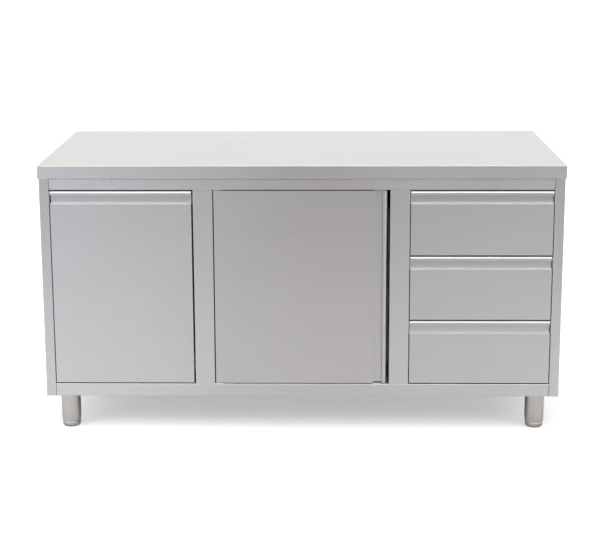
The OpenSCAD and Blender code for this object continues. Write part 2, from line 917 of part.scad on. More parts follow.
// Levelling foot: a rounded pad, a ring and a body that widens to the tube
module foot(spot) {
    r = leg_d / 2;
    ring_r = r - foot_taper;
    pad_r = foot_base_d / 2;
    ring_w = 0.9;
    color("silver") translate([spot[0], spot[1], 0]) {
        rotate_extrude($fn = 96) polygon(concat(
            [[0, 0]],
            [for (k = [0 : 5]) let (a = 90 * k / 5)
                [pad_r + (ring_r - pad_r - 0.3) * sin(a), foot_ring_z * 0.6 * (1 - cos(a))]],
            [
                [ring_r - 0.3, foot_ring_z - ring_w],
                [ring_r - 1.2, foot_ring_z],
                [ring_r, foot_ring_z + ring_w],
                [r - 0.5, foot_h * 0.7],
                [r - 0.1, foot_h],
                [0, foot_h]
            ]
        ));
        translate([0, 0, foot_h - 1]) cylinder(h = screw_l + 1, d = screw_d, $fn = 48);
    }
}

// ---- Nodes ----------------------------------------------------------------------

worktop();
worktop_board();
worktop_channels();
worktop_screws();
worktop_nuts();
drilled_for_rivets() left_side_panel();
drilled_for_rivets() right_side_panel();
back_panel();
back_rivets();
top_rail();
rear_rail();
base_shelf();
base_channels();
left_partition();
right_partition();
pull_out_uprights();
drawer_uprights();
pull_out_fixed_rails();
drawer_fixed_rails();
middle_shelf();
shelf_strips();
shelf_clips();
hinge_brackets();
hinge_pins();
magnetic_catch();
catch_magnet();
leg_plates();
leg_bolts();
leg_tubes();
leg_inserts();
door_skin();
door_liner();
door_hinge_blocks();
door_bushes();
door_strike_plate();
drawer_front(0);  // lower_drawer_front
drawer_front(1);  // middle_drawer_front
drawer_front(2);  // upper_drawer_front
drawer_liner(0);  // lower_drawer_liner
drawer_liner(1);  // middle_drawer_liner
drawer_liner(2);  // upper_drawer_liner
drawer_box(0);  // lower_drawer_box
drawer_box(1);  // middle_drawer_box
drawer_box(2);  // upper_drawer_box
drawer_inner_rails(0);  // lower_drawer_inner_rails
drawer_inner_rails(1);  // middle_drawer_inner_rails
drawer_inner_rails(2);  // upper_drawer_inner_rails
drawer_middle_rails(0);  // lower_drawer_middle_rails
drawer_middle_rails(1);  // middle_drawer_middle_rails
drawer_middle_rails(2);  // upper_drawer_middle_rails
pull_out_front();
pull_out_liner();
pull_out_tray();
pull_out_braces();
pull_out_inner_rails();
pull_out_middle_rails();
foot(leg_spots[0]);  // front_left_foot
foot(leg_spots[1]);  // front_right_foot
foot(leg_spots[2]);  // rear_left_foot
foot(leg_spots[3]);  // rear_right_foot
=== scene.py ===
"""Looks of a free-standing stainless work cabinet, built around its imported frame.

The frame gives every place and size. Each class below makes one sub-assembly's visible
sheet metal, and the frame's own nodes keep their shapes and get their finishes.
"""

import json
import logging
import math
from dataclasses import dataclass, field
from enum import Enum
from typing import Any, Callable, Sequence

import bmesh
import bpy
from mathutils import Matrix, Vector


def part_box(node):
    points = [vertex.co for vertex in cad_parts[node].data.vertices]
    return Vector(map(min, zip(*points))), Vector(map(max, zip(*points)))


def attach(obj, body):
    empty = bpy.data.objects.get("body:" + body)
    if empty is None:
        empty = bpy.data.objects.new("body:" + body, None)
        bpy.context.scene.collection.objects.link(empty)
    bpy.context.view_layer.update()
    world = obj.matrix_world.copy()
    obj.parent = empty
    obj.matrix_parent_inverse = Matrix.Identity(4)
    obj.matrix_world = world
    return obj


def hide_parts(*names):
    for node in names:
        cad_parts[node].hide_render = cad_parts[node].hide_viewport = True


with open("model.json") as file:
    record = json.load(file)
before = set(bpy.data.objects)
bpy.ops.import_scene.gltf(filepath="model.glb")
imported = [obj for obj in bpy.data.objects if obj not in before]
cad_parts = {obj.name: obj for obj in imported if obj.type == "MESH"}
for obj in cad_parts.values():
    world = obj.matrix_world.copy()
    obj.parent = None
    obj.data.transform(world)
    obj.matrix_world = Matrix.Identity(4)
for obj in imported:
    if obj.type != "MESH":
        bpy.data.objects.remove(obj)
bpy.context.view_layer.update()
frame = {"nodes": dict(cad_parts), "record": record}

log = logging.getLogger("work_cabinet")

MM = 0.001
HAIR = 0.01 * MM
Colour = tuple[float, float, float]
WHITE: Colour = (1.0, 1.0, 1.0)
Socket = bpy.types.NodeSocket


# ---- Shader nodes ---------------------------------------------------------------


class NodeSheet:
    """A node tree that is written node by node.

    Args:
        tree: The tree that takes the nodes.
    """

    def __init__(self, tree: bpy.types.NodeTree) -> None:
        """Keeps the tree that takes the nodes."""
        self.tree = tree

    def add(self, kind: str, **settings: Any) -> bpy.types.Node:
        """Adds a node and sets its properties.

        Args:
            kind: The node's type, without its "ShaderNode" prefix.
            settings: Values for the node's own properties.

        Returns:
            The new node.
        """
        node = self.tree.nodes.new("ShaderNode" + kind)
        for name, value in settings.items():
            setattr(node, name, value)
        return node

    def feed(self, socket: Socket, value: Any) -> None:
        """Links a socket to another one, or sets its value.

        Args:
            socket: The input that is fed.
            value: The socket to link it to, or its own value.
        """
        if isinstance(value, bpy.types.NodeSocket):
            self.tree.links.new(value, socket)
        else:
            socket.default_value = value

    def math(self, operation: str, *values: Any, clamp: bool = False) -> Socket:
        """Adds a Math node over one, two or three values.

        Args:
            operation: Blender's name of the operation.
            values: Numbers or sockets, in order.
            clamp: Whether the result is kept between 0 and 1.

        Returns:
            The result's socket.
        """
        node = self.add("Math", operation=operation, use_clamp=clamp)
        for socket, value in zip(node.inputs, values):
            self.feed(socket, value)
        return node.outputs[0]

    def ramp(self, value: Socket, low: float, high: float, to_low: float, to_high: float) -> Socket:
        """Maps a value smoothly from one range to another.

        Args:
            value: The value that is mapped.
            low: Where the range starts.
            high: Where the range ends.
            to_low: What the start becomes.
            to_high: What the end becomes.

        Returns:
            The mapped value's socket.
        """
        node = self.add("MapRange", interpolation_type="SMOOTHSTEP")
        for socket, number in zip(node.inputs, (value, low, high, to_low, to_high)):
            self.feed(socket, number)
        return node.outputs[0]

    def blend(self, share: Any, first: Any, second: Any) -> Socket:
        """Mixes two colours.

        Args:
            share: How much of the second colour shows, 0 to 1.
            first: A colour with three parts, or a socket.
            second: A colour with three parts, or a socket.

        Returns:
            The mixed colour's socket.
        """
        node = self.add("Mix", data_type="RGBA", blend_type="MIX")
        self.feed(node.inputs["Factor"], share)
        for socket, colour in ((node.inputs[6], first), (node.inputs[7], second)):
            self.feed(socket, (*colour, 1.0) if isinstance(colour, tuple) else colour)
        return node.outputs[2]

    def product(self, first: Any, second: Any) -> Socket:
        """Multiplies two colours.

        Args:
            first: The first colour's socket.
            second: The second colour's socket.

        Returns:
            The product's socket.
        """
        node = self.add("Mix", data_type="RGBA", blend_type="MULTIPLY")
        node.inputs[0].default_value = 1.0
        self.feed(node.inputs[6], first)
        self.feed(node.inputs[7], second)
        return node.outputs[2]

    def stretched(self, vector: Socket, scale: tuple[float, float, float]) -> Socket:
        """Scales a pattern's coordinates by a different amount along each axis.

        Args:
            vector: The coordinates.
            scale: The amount along X, Y and Z.

        Returns:
            The stretched coordinates.
        """
        node = self.add("Mapping", vector_type="POINT")
        self.feed(node.inputs["Vector"], vector)
        node.inputs["Scale"].default_value = scale
        return node.outputs[0]

    def noise(self, vector: Socket, scale: float, detail: float = 2.0, rough: float = 0.5) -> Socket:
        """Adds a noise pattern.

        Args:
            vector: The pattern's coordinates.
            scale: How fine the pattern is.
            detail: How many finer layers it has.
            rough: How strong the finer layers are.

        Returns:
            The pattern's value, about 0.5 on average.
        """
        node = self.add("TexNoise", noise_dimensions="3D")
        self.feed(node.inputs["Vector"], vector)
        node.inputs["Scale"].default_value = scale
        node.inputs["Detail"].default_value = detail
        node.inputs["Roughness"].default_value = rough
        return node.outputs[0]


class Effect:
    """A shader node group that several finishes place with their own values."""

    title: str = ""
    inputs: Sequence[tuple[str, str, float]] = ()
    outputs: Sequence[str] = ()

    def tree(self) -> bpy.types.NodeTree:
        """Returns the group's tree, which is built the first time it is asked for."""
        made = bpy.data.node_groups.get(self.title)
        return made if made is not None else self.build()

    def build(self) -> bpy.types.NodeTree:
        """Makes the group with its sockets and its pattern.

        Returns:
            The finished node tree.
        """
        tree = bpy.data.node_groups.new(self.title, "ShaderNodeTree")
        for name, kind, start in self.inputs:
            socket = tree.interface.new_socket(name, in_out="INPUT", socket_type=kind)
            if kind == "NodeSocketFloat":
                socket.default_value = start
        for name in self.outputs:
            tree.interface.new_socket(name, in_out="OUTPUT", socket_type="NodeSocketFloat")
        sheet = NodeSheet(tree)
        asked = tree.nodes.new("NodeGroupInput").outputs
        given = tree.nodes.new("NodeGroupOutput").inputs
        self.draw(sheet, asked, given)
        return tree

    def draw(self, sheet: NodeSheet, asked: Any, given: Any) -> None:
        """Draws the pattern between the group's inputs and outputs."""
        raise NotImplementedError

    def place(self, sheet: NodeSheet, **values: Any) -> bpy.types.Node:
        """Places the group in a material.

        Args:
            sheet: The material's nodes.
            values: The group's inputs, with spaces written as underscores.

        Returns:
            The group node.
        """
        node = sheet.add("Group", node_tree=self.tree())
        for name, value in values.items():
            sheet.feed(node.inputs[name.replace("_", " ")], value)
        return node


class GroundGrain(Effect):
    """Fine abrasive lines with broader bands among them, along one axis of the vector."""

    title = "ground grain"
    inputs = (("Vector", "NodeSocketVector", 0.0), ("Contrast", "NodeSocketFloat", 1.0))
    outputs = ("Lines", "Bands")

    def draw(self, sheet: NodeSheet, asked: Any, given: Any) -> None:
        """Draws fine lines and bands that run along X of the stretched vector.

        Args:
            sheet: The group's nodes.
            asked: The group's inputs.
            given: The group's outputs.
        """
        fine = sheet.noise(asked["Vector"], scale=1.0, detail=3.0, rough=0.6)
        wide = sheet.stretched(asked["Vector"], (0.35, 0.05, 0.05))
        broad = sheet.noise(wide, scale=1.0, detail=2.0, rough=0.55)
        for value, name in ((fine, "Lines"), (broad, "Bands")):
            centred = sheet.math("SUBTRACT", value, 0.5)
            strong = sheet.math("MULTIPLY", centred, asked["Contrast"])
            sheet.feed(given[name], sheet.math("ADD", strong, 0.5, clamp=True))


class HandlingMarks(Effect):
    """Soft clouds left by wiping and handling, and the fainter arcs of a cloth."""

    title = "handling marks"
    inputs = (("Vector", "NodeSocketVector", 0.0),)
    outputs = ("Clouds", "Wipes")

    def draw(self, sheet: NodeSheet, asked: Any, given: Any) -> None:
        """Draws clouds a hand's width across and slanted wiping streaks.

        Args:
            sheet: The group's nodes.
            asked: The group's inputs.
            given: The group's outputs.
        """
        clouds = sheet.noise(asked["Vector"], scale=5.0, detail=3.0, rough=0.55)
        sheet.feed(given["Clouds"], sheet.ramp(clouds, 0.35, 0.7, 0.0, 1.0))
        slanted = sheet.add("Mapping", vector_type="POINT")
        sheet.feed(slanted.inputs["Vector"], asked["Vector"])
        slanted.inputs["Rotation"].default_value = (0.5, 0.4, 0.3)
        slanted.inputs["Scale"].default_value = (3.0, 22.0, 9.0)
        streaks = sheet.noise(slanted.outputs[0], scale=1.0, detail=2.0, rough=0.5)
        sheet.feed(given["Wipes"], sheet.ramp(streaks, 0.45, 0.75, 0.0, 1.0))


class Spangle(Effect):
    """Crystal patches of a zinc coating, each a little lighter or darker."""

    title = "zinc spangle"
    inputs = (("Vector", "NodeSocketVector", 0.0), ("Scale", "NodeSocketFloat", 90.0))
    outputs = ("Patches", "Grit")

    def draw(self, sheet: NodeSheet, asked: Any, given: Any) -> None:
        """Draws cells of one shade each, and a fine grit over them.

        Args:
            sheet: The group's nodes.
            asked: The group's inputs.
            given: The group's outputs.
        """
        cells = sheet.add("TexVoronoi", feature="F1")
        sheet.feed(cells.inputs["Vector"], asked["Vector"])
        sheet.feed(cells.inputs["Scale"], asked["Scale"])
        shade = sheet.add("SeparateColor")
        sheet.feed(shade.inputs[0], cells.outputs["Color"])
        sheet.feed(given["Patches"], shade.outputs[0])
        sheet.feed(given["Grit"], sheet.noise(asked["Vector"], scale=900.0, detail=2.0, rough=0.6))


class NearFloorDarkening(Effect):
    """Darker towards the floor: a ragged mask that thins out with height above it."""

    title = "floor dust"
    inputs = (("Vector", "NodeSocketVector", 0.0), ("Height", "NodeSocketFloat", 0.02))
    outputs = ("Dust",)

    def draw(self, sheet: NodeSheet, asked: Any, given: Any) -> None:
        """Draws a ragged mask, full at the floor and gone at the given height.

        Args:
            sheet: The group's nodes.
            asked: The group's inputs.
            given: The group's outputs.
        """
        parts = sheet.add("SeparateXYZ")
        sheet.feed(parts.inputs[0], asked["Vector"])
        level = sheet.math("DIVIDE", parts.outputs["Z"], asked["Height"])
        ragged = sheet.math("ADD", level, sheet.noise(asked["Vector"], scale=60.0, detail=3.0, rough=0.6))
        sheet.feed(given["Dust"], sheet.ramp(ragged, 0.5, 1.6, 1.0, 0.0))


# ---- Finishes -------------------------------------------------------------------


class Grain(Enum):
    """Which way a ground sheet's grain runs, as the pattern's scale along X, Y and Z."""

    LENGTHWAYS = (3.0, 900.0, 900.0)
    UPRIGHT = (900.0, 900.0, 3.0)
    TURNED = (90.0, 90.0, 700.0)

    @property
    def blur_axis(self) -> str:
        """The axis round which the tangent turns, so that highlights spread across the grain."""
        return "X" if self is Grain.LENGTHWAYS else "Z"

    @property
    def broad(self) -> tuple[float, float, float]:
        """The same stretch at the scale of the broad bands."""
        return tuple(part ** 0.5 for part in self.value)


@dataclass(frozen=True)
class Finish:
    """What every surface finish has: a name, a colour and a roughness."""

    name: str
    colour: Colour
    roughness: float

    def material(self) -> bpy.types.Material:
        """Returns this finish's material, which is built the first time it is asked for."""
        made = bpy.data.materials.get(self.name)
        return made if made is not None else self.build()

    def build(self) -> bpy.types.Material:
        """Makes the material and its Principled shader, and lets the finish dress it.

        Returns:
            The finished material.
        """
        material = bpy.data.materials.new(self.name)
        material.use_nodes = True
        material.node_tree.nodes.clear()
        sheet = NodeSheet(material.node_tree)
        shader = sheet.add("BsdfPrincipled")
        output = sheet.add("OutputMaterial")
        sheet.feed(output.inputs["Surface"], shader.outputs[0])
        place = sheet.add("TexCoord").outputs["Object"]
        self.dress(sheet, shader, place)
        return material

    def dress(self, sheet: NodeSheet, shader: bpy.types.Node, place: Socket) -> None:
        """Feeds the shader from this finish's patterns."""
        raise NotImplementedError

    def tinted(self, gain: float, shift: Colour = WHITE) -> Colour:
        """Returns the finish's colour, made lighter or darker and shifted in hue."""
        return tuple(min(1.0, c * gain * s) for c, s in zip(self.colour, shift))

    def bump(self, sheet: NodeSheet, shader: bpy.types.Node, height: Socket, depth: float) -> None:
        """Raises the surface by a pattern.

        Args:
            sheet: The material's nodes.
            shader: The Principled shader.
            height: The pattern, 0 to 1.
            depth: How far 1 stands above 0, in metres.
        """
        node = sheet.add("Bump")
        node.inputs["Strength"].default_value = 1.0
        node.inputs["Distance"].default_value = depth
        sheet.feed(node.inputs["Height"], height)
        sheet.feed(shader.inputs["Normal"], node.outputs[0])


@dataclass(frozen=True)
class GroundSteel(Finish):
    """Stainless sheet ground with a belt, so that its highlights spread across the grain."""

    grain: Grain = Grain.LENGTHWAYS
    anisotropy: float = 0.6
    line_depth: float = 0.03e-6
    lining: float = 0.025
    banding: float = 0.025
    clouding: float = 0.035
    rough_bands: float = 0.01
    rough_wipes: float = 0.012
    rough_drop: float = 0.02

    def dress(self, sheet: NodeSheet, shader: bpy.types.Node, place: Socket) -> None:
        """Feeds colour, roughness and relief from the grain and the handling marks.

        Args:
            sheet: The material's nodes.
            shader: The Principled shader.
            place: The object's coordinates.
        """
        along = sheet.stretched(place, self.grain.value)
        fine = GroundGrain().place(sheet, Vector=along, Contrast=1.6)
        broad_place = sheet.stretched(place, self.grain.broad)
        broad = GroundGrain().place(sheet, Vector=broad_place, Contrast=1.8)
        marks = HandlingMarks().place(sheet, Vector=place)
        lit = sheet.blend(
            broad.outputs["Lines"], self.tinted(1.0 - self.banding), self.tinted(1.0 + self.banding)
        )
        film = sheet.math("MULTIPLY", marks.outputs["Clouds"], self.clouding)
        dulled = sheet.blend(film, lit, self.tinted(0.8, (1.0, 0.99, 0.96)))
        lined = sheet.math("MULTIPLY", fine.outputs["Lines"], self.lining)
        sheet.feed(shader.inputs["Base Color"], sheet.blend(lined, dulled, self.tinted(0.7)))
        shader.inputs["Metallic"].default_value = 1.0
        swing = sheet.math("MULTIPLY", fine.outputs["Bands"], self.rough_bands)
        wiped = sheet.math("MULTIPLY", marks.outputs["Wipes"], self.rough_wipes)
        rough = sheet.math("ADD", sheet.math("ADD", swing, wiped), self.roughness - self.rough_drop)
        sheet.feed(shader.inputs["Roughness"], rough)
        shader.inputs["Anisotropic"].default_value = self.anisotropy
        tangent = sheet.add("Tangent", direction_type="RADIAL", axis=self.grain.blur_axis)
        sheet.feed(shader.inputs["Tangent"], tangent.outputs[0])
        self.bump(sheet, shader, fine.outputs["Lines"], self.line_depth)


@dataclass(frozen=True)
class MillSteel(Finish):
    """Cold-rolled stainless sheet as it comes from the mill: matt, even and faintly clouded."""

    rough_wipes: float = 0.03
    rough_tooth: float = 0.06
    rough_drop: float = 0.05
    tooth_depth: float = 0.5e-6

    def dress(self, sheet: NodeSheet, shader: bpy.types.Node, place: Socket) -> None:
        """Feeds colour and roughness from soft clouds, with a fine matt tooth.

        Args:
            sheet: The material's nodes.
            shader: The Principled shader.
            place: The object's coordinates.
        """
        marks = HandlingMarks().place(sheet, Vector=place)
        tooth = sheet.noise(place, scale=1800.0, detail=2.0, rough=0.6)
        sheet.feed(
            shader.inputs["Base Color"],
            sheet.blend(marks.outputs["Clouds"], self.tinted(1.01), self.tinted(0.975, (1.0, 1.0, 0.99))),
        )
        shader.inputs["Metallic"].default_value = 1.0
        worn = sheet.math("MULTIPLY", marks.outputs["Wipes"], self.rough_wipes)
        grit = sheet.math("MULTIPLY", tooth, self.rough_tooth)
        rough = sheet.math("ADD", sheet.math("ADD", worn, grit), self.roughness - self.rough_drop)
        sheet.feed(shader.inputs["Roughness"], rough)
        self.bump(sheet, shader, tooth, self.tooth_depth)


@dataclass(frozen=True)
class ZincSheet(Finish):
    """Galvanised steel with its crystal spangle."""

    spangle: float = 110.0
    rough_patches: float = 0.12
    rough_grit: float = 0.08
    rough_drop: float = 0.1
    grit_depth: float = 2e-6

    def dress(self, sheet: NodeSheet, shader: bpy.types.Node, place: Socket) -> None:
        """Feeds colour and roughness from the spangle's patches.

        Args:
            sheet: The material's nodes.
            shader: The Principled shader.
            place: The object's coordinates.
        """
        zinc = Spangle().place(sheet, Vector=place, Scale=self.spangle)
        sheet.feed(
            shader.inputs["Base Color"],
            sheet.blend(zinc.outputs["Patches"], self.tinted(0.86), self.tinted(1.1, (0.98, 1.0, 1.02))),
        )
        shader.inputs["Metallic"].default_value = 1.0
        patchy = sheet.math("MULTIPLY", zinc.outputs["Patches"], self.rough_patches)
        gritty = sheet.math("MULTIPLY", zinc.outputs["Grit"], self.rough_grit)
        rough = sheet.math("ADD", sheet.math("ADD", patchy, gritty), self.roughness - self.rough_drop)
        sheet.feed(shader.inputs["Roughness"], rough)
        self.bump(sheet, shader, zinc.outputs["Grit"], self.grit_depth)


@dataclass(frozen=True)
class BrightPlate(Finish):
    """Zinc or nickel plate on screws, pins and blocks, with a darker film in patches."""

    rough_marks: float = 0.12
    rough_drop: float = 0.06
    mark_depth: float = 3e-6

    def dress(self, sheet: NodeSheet, shader: bpy.types.Node, place: Socket) -> None:
        """Feeds colour and roughness from fine tool marks and a thin film.

        Args:
            sheet: The material's nodes.
            shader: The Principled shader.
            place: The object's coordinates.
        """
        film = sheet.noise(place, scale=120.0, detail=3.0, rough=0.6)
        turned = sheet.stretched(place, (900.0, 900.0, 2500.0))
        tool = sheet.noise(turned, scale=1.0, detail=1.0, rough=0.5)
        sheet.feed(
            shader.inputs["Base Color"],
            sheet.blend(sheet.ramp(film, 0.4, 0.7, 0.0, 1.0), self.tinted(1.05), self.tinted(0.82)),
        )
        shader.inputs["Metallic"].default_value = 1.0
        marked = sheet.math("MULTIPLY", tool, self.rough_marks)
        rough = sheet.math("ADD", marked, self.roughness - self.rough_drop)
        sheet.feed(shader.inputs["Roughness"], rough)
        self.bump(sheet, shader, tool, self.mark_depth)


@dataclass(frozen=True)
class TurnedSteel(GroundSteel):
    """Ground stainless on legs and feet, darker and rougher near the floor."""

    darkening_height: float = 0.016
    darkening_share: float = 0.45
    darkening_colour: Colour = (0.2, 0.19, 0.18)
    rough_darkening: float = 0.3

    def dress(self, sheet: NodeSheet, shader: bpy.types.Node, place: Socket) -> None:
        """Makes the ground steel darker and rougher near the floor.

        Args:
            sheet: The material's nodes.
            shader: The Principled shader.
            place: The object's coordinates.
        """
        super().dress(sheet, shader, place)
        # Darker and rougher close to the floor, thinning out a little way above it.
        darkening = NearFloorDarkening().place(sheet, Vector=place, Height=self.darkening_height)
        steel = shader.inputs["Base Color"].links[0].from_socket
        share = sheet.math("MULTIPLY", darkening.outputs["Dust"], self.darkening_share)
        sheet.feed(shader.inputs["Base Color"], sheet.blend(share, steel, self.darkening_colour))
        clean = shader.inputs["Roughness"].links[0].from_socket
        dulled = sheet.math("MULTIPLY", darkening.outputs["Dust"], self.rough_darkening)
        sheet.feed(shader.inputs["Roughness"], sheet.math("ADD", clean, dulled))


@dataclass(frozen=True)
class Plastic(Finish):
    """Moulded nylon with a fine tooth and scuffs."""

    gloss: float = 0.45
    rough_scuffs: float = 0.15
    tooth_depth: float = 8e-6

    def dress(self, sheet: NodeSheet, shader: bpy.types.Node, place: Socket) -> None:
        """Feeds colour and roughness from scuffs over a moulded tooth.

        Args:
            sheet: The material's nodes.
            shader: The Principled shader.
            place: The object's coordinates.
        """
        scuffs = sheet.noise(place, scale=160.0, detail=4.0, rough=0.65)
        tooth = sheet.noise(place, scale=2400.0, detail=2.0, rough=0.5)
        worn = sheet.ramp(scuffs, 0.45, 0.7, 0.0, 1.0)
        sheet.feed(
            shader.inputs["Base Color"],
            sheet.blend(worn, self.tinted(1.0), self.tinted(0.88, (1.0, 0.98, 0.94))),
        )
        shader.inputs["Specular IOR Level"].default_value = self.gloss
        scuffed = sheet.math("MULTIPLY", worn, self.rough_scuffs)
        sheet.feed(shader.inputs["Roughness"], sheet.math("ADD", scuffed, self.roughness))
        self.bump(sheet, shader, tooth, self.tooth_depth)


@dataclass(frozen=True)
class Chipboard(Finish):
    """Pressed wood chips in resin."""

    chip_stretch: tuple[float, float, float] = (220.0, 220.0, 700.0)
    rough_chips: float = 0.1
    chip_depth: float = 2e-4

    def dress(self, sheet: NodeSheet, shader: bpy.types.Node, place: Socket) -> None:
        """Feeds colour and relief from flat chips of mixed shades.

        Args:
            sheet: The material's nodes.
            shader: The Principled shader.
            place: The object's coordinates.
        """
        flat = sheet.stretched(place, self.chip_stretch)
        chips = sheet.add("TexVoronoi", feature="F1")
        sheet.feed(chips.inputs["Vector"], flat)
        chips.inputs["Scale"].default_value = 1.0
        shade = sheet.add("SeparateColor")
        sheet.feed(shade.inputs[0], chips.outputs["Color"])
        sheet.feed(
            shader.inputs["Base Color"],
            sheet.blend(shade.outputs[0], self.tinted(0.65), self.tinted(1.2, (1.0, 0.98, 0.9))),
        )
        least, most = self.roughness - self.rough_chips, self.roughness + self.rough_chips
        sheet.feed(shader.inputs["Roughness"], sheet.ramp(shade.outputs[1], 0.0, 1.0, least, most))
        self.bump(sheet, shader, chips.outputs["Distance"], self.chip_depth)


@dataclass(frozen=True)
class SinteredBlock(Finish):
    """Pressed and fired magnet: dark, matt and finely pitted."""

    metal: float = 0.4
    roughest: float = 0.8
    pit_depth: float = 2e-5

    def dress(self, sheet: NodeSheet, shader: bpy.types.Node, place: Socket) -> None:
        """Feeds colour and relief from fine pits.

        Args:
            sheet: The material's nodes.
            shader: The Principled shader.
            place: The object's coordinates.
        """
        pits = sheet.noise(place, scale=1500.0, detail=3.0, rough=0.7)
        sheet.feed(shader.inputs["Base Color"], sheet.blend(pits, self.tinted(0.7), self.tinted(1.4)))
        shader.inputs["Metallic"].default_value = self.metal
        rough = sheet.ramp(pits, 0.3, 0.7, self.roughness, self.roughest)
        sheet.feed(shader.inputs["Roughness"], rough)
        self.bump(sheet, shader, pits, self.pit_depth)


FINISHES: dict[str, Finish] = {
    "worktop_steel": GroundSteel(
        "worktop ground steel", (0.6, 0.6, 0.6), 0.28, anisotropy=0.95, banding=0.006
    ),
    "upright_steel": GroundSteel(
        "upright ground steel", (0.585, 0.583, 0.583), 0.42, grain=Grain.UPRIGHT, anisotropy=0.5
    ),
    "rail_steel": GroundSteel(
        "rail ground steel", (0.6, 0.597, 0.596), 0.28, anisotropy=0.95, banding=0.008
    ),
    "front_steel": GroundSteel(
        "front satin steel", (0.58, 0.58, 0.577), 0.32, anisotropy=0.8, banding=0.015
    ),
    # Painted shade: the door's steel is the front steel made a little darker and warmer.
    "door_steel": GroundSteel(
        "door satin steel", (0.56, 0.557, 0.552), 0.32, anisotropy=0.8, banding=0.015
    ),
    "inner_steel": MillSteel("mill steel", (0.56, 0.56, 0.565), 0.42),
    "galvanised_steel": ZincSheet("galvanised steel", (0.55, 0.565, 0.58), 0.42),
    "fastener_steel": BrightPlate("bright plated steel", (0.62, 0.62, 0.62), 0.26),
    "leg_steel": TurnedSteel("leg ground steel", (0.51, 0.493, 0.47), 0.3, grain=Grain.TURNED),
    "core_board": Chipboard("chipboard", (0.52, 0.38, 0.23), 0.8),
    "nylon": Plastic("white nylon", (0.78, 0.77, 0.73), 0.45),
    "black_nylon": Plastic("black nylon", (0.03, 0.03, 0.03), 0.5),
    "magnet": SinteredBlock("magnet", (0.08, 0.08, 0.085), 0.5),
}


# ---- Sheet metal ----------------------------------------------------------------


@dataclass(frozen=True)
class NodeBox:
    """Where a frame node is: its lowest and its highest corner, in metres."""

    low: Vector
    high: Vector

    @classmethod
    def of(cls, node: str) -> "NodeBox":
        """Returns the box of the named node."""
        return cls(*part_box(node))

    @property
    def size(self) -> Vector:
        """The box's three sides."""
        return self.high - self.low

    @property
    def middle(self) -> Vector:
        """The box's centre."""
        return (self.low + self.high) / 2


@dataclass(frozen=True)
class Corner:
    """A corner of a folded sheet's middle line: its place and the radius of its bend."""

    u: float
    v: float
    radius: float = 0.0


class Run(Enum):
    """Which way a folded section runs, and how its own plane lies in the frame."""

    LENGTHWAYS = "x"
    CROSSWAYS = "y"
    UPRIGHT = "z"

    def point(self, along: float, u: float, v: float) -> Vector:
        """Returns a section's point in the frame.

        Args:
            along: How far along the run it lies.
            u: Its first place across the run.
            v: Its second place across the run.

        Returns:
            The point, in metres.
        """
        return {
            Run.LENGTHWAYS: Vector((along, u, v)),
            Run.CROSSWAYS: Vector((u, along, v)),
            Run.UPRIGHT: Vector((u, v, along)),
        }[self]


@dataclass
class FoldedSheet:
    """Sheet metal folded to one section: its middle line, its run and its bends."""

    corners: list[Corner]
    start: float
    end: float
    run: Run = Run.LENGTHWAYS
    arc_steps: int = 6

    def draw(self, shape: bmesh.types.BMesh) -> None:
        """Adds the sheet's middle surface to a shape.

        Args:
            shape: The mesh that takes the surface.
        """
        points = [shape.verts.new(self.run.point(self.start, c.u, c.v)) for c in self.corners]
        for first, second in zip(points, points[1:]):
            shape.edges.new((first, second))
        for before, at, after in zip(range(len(points)), range(1, len(points)), range(2, len(points))):
            self.bend(shape, points[at], self.corners[before], self.corners[at], self.corners[after])
        line = [edge for edge in shape.edges if not edge.link_faces and edge.is_wire]
        grown = bmesh.ops.extrude_edge_only(shape, edges=line)["geom"]
        new = [part for part in grown if isinstance(part, bmesh.types.BMVert)]
        offset = self.run.point(self.end - self.start, 0.0, 0.0)
        bmesh.ops.translate(shape, verts=new, vec=offset)

    def bend(
        self, shape: bmesh.types.BMesh, point: bmesh.types.BMVert, before: Corner, at: Corner, after: Corner
    ) -> None:
        """Rounds one corner of the middle line.

        Args:
            shape: The mesh that holds the line.
            point: The corner's vertex.
            before: The corner before it.
            at: The corner itself.
            after: The corner after it.
        """
        if at.radius <= 0.0:
            return
        come = Vector((at.u - before.u, at.v - before.v)).normalized()
        go = Vector((after.u - at.u, after.v - at.v)).normalized()
        turn = come.angle(go)
        bmesh.ops.bevel(
            shape,
            geom=[point],
            offset=at.radius * math.tan(turn / 2),
            offset_type="OFFSET",
            segments=self.arc_steps,
            profile=0.5,
            affect="VERTICES",
            material=-1,
        )


